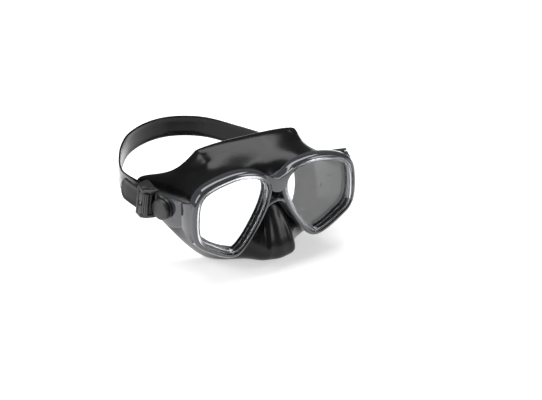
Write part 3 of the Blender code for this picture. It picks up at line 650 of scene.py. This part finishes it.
def band_section(width, thickness):
    """The band's section as places across it and heights: thin, with a bead along each edge."""
    half, bead = width / 2, thickness / 2
    web = bead - 0.28  # the middle is this much thinner on each face
    upper = [(half, 0.0), (half - 0.12, bead * 0.55), (half - 0.45, bead * 0.9), (half - 0.9, bead),
             (half - 1.5, bead), (half - 2.0, bead - 0.08), (half - 2.5, web), (half * 0.4, web)]
    upper += [(-w, h) for w, h in reversed(upper)]
    return upper + [(w, -h) for w, h in reversed(upper[1:-1])]


BAND_SECTION = band_section(STRAP_WIDTH, STRAP_THICKNESS)


def band_rings(route, section):
    """The band's sections: each route point comes with its outward and widthways directions."""
    return [
        [point + upward * (w * share) + outward * h for w, h in section]
        for point, outward, upward, share in route
    ]


def strap_start(side):
    """Two points on the band's middle line, in and just behind a buckle's tunnel."""
    place = buckle_place(side, BUCKLE_PITCH[side])
    height = STRAP_INNER + STRAP_THICKNESS / 2 - STRAP_SEAT
    return [place @ Vector((x, 0, height)) for x in (TUNNEL_END - 2.0, TUNNEL_END + 4)]


# The band's middle line round the head, from the wearer's right buckle to the left one.
STRAP_RIGHT = [(-92.5, 72, 10.5), (-90, 88, 8.5), (-84, 104, 6.5), (-75, 122, 4.5), (-62, 144, 3.5),
               (-44, 166, 3), (-22, 180, 3)]
STRAP_LEFT = [(20, 180.5, 2), (38, 170, 0), (54, 150, -3.5), (66, 128, -5.5), (77.5, 108, -9),
              (87, 91, -14), (92.6, 77, -15), (93.6, 67, -11.9)]


def make_strap():
    """The band between the buckles."""
    middle = [(0, STRAP_LOOP_DEPTH, 3)]
    points = strap_start(-1) + STRAP_RIGHT + middle + STRAP_LEFT + strap_start(1)[::-1]
    centre = smooth_line(points, 10, closed=False)
    leads = {0: Vector(points[1]) - Vector(points[0]),
             len(centre) - 1: Vector(points[-1]) - Vector(points[-2])}
    route = []
    for i, point in enumerate(centre):
        ahead, behind = centre[min(i + 1, len(centre) - 1)], centre[max(i - 1, 0)]
        run = leads.get(i, ahead - behind).normalized()
        outward = run.cross(Vector((0, 0, 1))).normalized()
        route.append((point, outward, outward.cross(run).normalized(), 1.0))
    return piece_from(surface_through(band_rings(route, BAND_SECTION), capped=True),
                      "strap_band", black_silicone)


strap = make_strap()
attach(strap, "strap")
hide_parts("strap")

FIT_GAP = 0.3
ROLLER_X = 13.0
ROLLER_RADIUS = 1.8
ROLLER_Z = STRAP_INNER + STRAP_THICKNESS + FIT_GAP + ROLLER_RADIUS
WRAP_RADIUS = ROLLER_RADIUS + FIT_GAP + STRAP_THICKNESS / 2
STRAP_OUTER = ROLLER_Z + ROLLER_RADIUS + FIT_GAP
LEVER_Z = STRAP_OUTER + STRAP_THICKNESS + FIT_GAP + 1.7
KEEPER_X = 20.5
KEEPER_RADIUS = 1.3
TAIL_LENGTH = 24.0
TIP_LENGTH = 5.5
TIP_STEPS = 12
TIP_THINNEST = 0.02  # the square of the tip's share of the full width, at its very end


def make_strap_end(side, name):
    """The threaded end of the band, with a rounded tip to its free tail."""
    middle_in = STRAP_INNER + STRAP_THICKNESS / 2
    middle_out = STRAP_OUTER + STRAP_THICKNESS / 2
    places = [(TUNNEL_END - 3.0, middle_in - STRAP_SEAT), (ROLLER_X + 4, middle_in)]
    places += [
        (ROLLER_X + WRAP_RADIUS * math.cos(a), ROLLER_Z + WRAP_RADIUS * math.sin(a))
        for a in (math.radians(-90 - 18 * i) for i in range(11))
    ]
    dip = LEVER_Z - 0.2 - KEEPER_RADIUS - FIT_GAP - STRAP_THICKNESS / 2  # under the keeper
    places += [
        (ROLLER_X + 3, middle_out - 0.1), (KEEPER_X - 2, dip), (KEEPER_X + 2, dip),
        (KEEPER_X + TAIL_LENGTH * 0.35, dip - 0.2), (KEEPER_X + TAIL_LENGTH * 0.7, dip - 1.0),
        (KEEPER_X + TAIL_LENGTH, dip - 2.4),
    ]
    line = smooth_line([(x, 0, z) for x, z in places], 4, closed=False)
    tail_tip = KEEPER_X + TAIL_LENGTH
    rounded = [p for p in line if p.x < tail_tip - TIP_LENGTH]
    last, tip = rounded[-1], line[-1]
    for k in range(1, TIP_STEPS + 1):
        rounded.append(last.lerp(tip, math.sin(math.pi / 2 * k / TIP_STEPS)))
    route = []
    for i, point in enumerate(rounded):
        before, after = rounded[max(i - 1, 0)], rounded[min(i + 1, len(rounded) - 1)]
        run = (after - before).normalized()
        into_tip = (point.x - (tail_tip - TIP_LENGTH)) / TIP_LENGTH
        share = math.sqrt(max(1 - into_tip**2, TIP_THINNEST)) if into_tip > 0 else 1.0
        route.append((point, Vector((run.z, 0, -run.x)), Vector((0, 1, 0)), share))
    bm = surface_through(band_rings(route, BAND_SECTION), capped=True)
    if side < 0:
        bmesh.ops.transform(bm, matrix=Matrix.Scale(-1, 4, (0, 1, 0)), verts=bm.verts)
    return piece_from(bm, name, black_silicone, buckle_place(side, BUCKLE_PITCH[side]))


for word, side in SIDES.items():
    tail = make_strap_end(side, f"strap_tail_{word}")
    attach(tail, f"buckle_{word}")
    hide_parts(f"strap_end_{word}")

# Table, light and camera ------------------------------------------------------------------------
# A plain white paper sweep, three soft rectangular lights and a long-lens camera that looks down
# on the mask from ahead of it, over the wearer's right side.


def make_floor():
    """The paper, which glows a little so that it stays white in the shade."""
    bm = bmesh.new()
    bmesh.ops.create_grid(bm, x_segments=8, y_segments=8, size=6.0)
    mesh = bpy.data.meshes.new("table_top")
    bm.to_mesh(mesh)
    bm.free()
    made = bpy.data.objects.new("table_top", mesh)
    bpy.context.scene.collection.objects.link(made)
    paper = bpy.data.materials.new("white_paper")
    paper.use_nodes = True
    tree = paper.node_tree
    shader = tree.nodes["Principled BSDF"]
    shader.inputs["Roughness"].default_value = 0.9
    shader.inputs["Specular IOR Level"].default_value = 0.1
    fibre = add_node(tree, "ShaderNodeTexNoise", {"Scale": 40.0, "Detail": 4.0})
    tone = mix_colours(tree, fibre.outputs["Fac"], (0.93, 0.93, 0.93, 1), (0.97, 0.97, 0.97, 1))
    tree.links.new(tone, shader.inputs["Base Color"])
    shader.inputs["Emission Color"].default_value = (1, 1, 1, 1)
    shader.inputs["Emission Strength"].default_value = 0.5
    mesh.materials.append(paper)
    return made


make_floor()


def soft_light(name, place, target, width, height, power):
    """A rectangular light at a place in metres, turned to a target."""
    data = bpy.data.lights.new(name, "AREA")
    data.shape = "RECTANGLE"
    data.size, data.size_y, data.energy = width, height, power
    made = bpy.data.objects.new(name, data)
    bpy.context.scene.collection.objects.link(made)
    made.location = place
    made.rotation_euler = (Vector(target) - Vector(place)).to_track_quat("-Z", "Y").to_euler()
    return made


soft_light("overhead_light", (0.1, 0.25, 1.2), (0, 0, 0), 1.5, 0.6, 13)
soft_light("left_light", (-1.3, -0.1, 0.8), (0, 0, 0.05), 0.7, 1.0, 12)
soft_light("right_light", (0.9, -1.2, 0.7), (0, 0, 0.05), 0.4, 0.8, 6)

world = bpy.data.worlds.new("soft_room")
bpy.context.scene.world = world
world.use_nodes = True
world.node_tree.nodes["Background"].inputs["Color"].default_value = (1, 1, 1, 1)
world.node_tree.nodes["Background"].inputs["Strength"].default_value = 0.12
bpy.context.scene.view_settings.view_transform = "Standard"

LOOK_AROUND, LOOK_DOWN, CAMERA_ROLL = math.radians(-33), math.radians(24.63), math.radians(0.522)
CAMERA_DISTANCE, LENS_LENGTH, SENSOR_WIDTH = 1204.8, 100.8, 36
VIEW_SHIFT = (-3.705, 3.876)  # from the design's zero, to the right and up, in mm

back = Vector((math.sin(LOOK_AROUND) * math.cos(LOOK_DOWN),
               -math.cos(LOOK_AROUND) * math.cos(LOOK_DOWN), math.sin(LOOK_DOWN)))
right = Vector((math.cos(LOOK_AROUND), math.sin(LOOK_AROUND), 0))
up = back.cross(right)
camera_right = right * math.cos(CAMERA_ROLL) + up * math.sin(CAMERA_ROLL)
camera_up = up * math.cos(CAMERA_ROLL) - right * math.sin(CAMERA_ROLL)
eye = camera_right * VIEW_SHIFT[0] + camera_up * VIEW_SHIFT[1] + back * CAMERA_DISTANCE

camera_data = bpy.data.cameras.new("camera")
camera_data.lens = LENS_LENGTH
camera_data.sensor_width = SENSOR_WIDTH
camera = bpy.data.objects.new("camera", camera_data)
bpy.context.scene.collection.objects.link(camera)
placing = Matrix((camera_right, camera_up, back)).transposed().to_4x4()
placing.translation = (eye + ORIGIN) * MM
camera.matrix_world = placing
bpy.context.scene.camera = camera
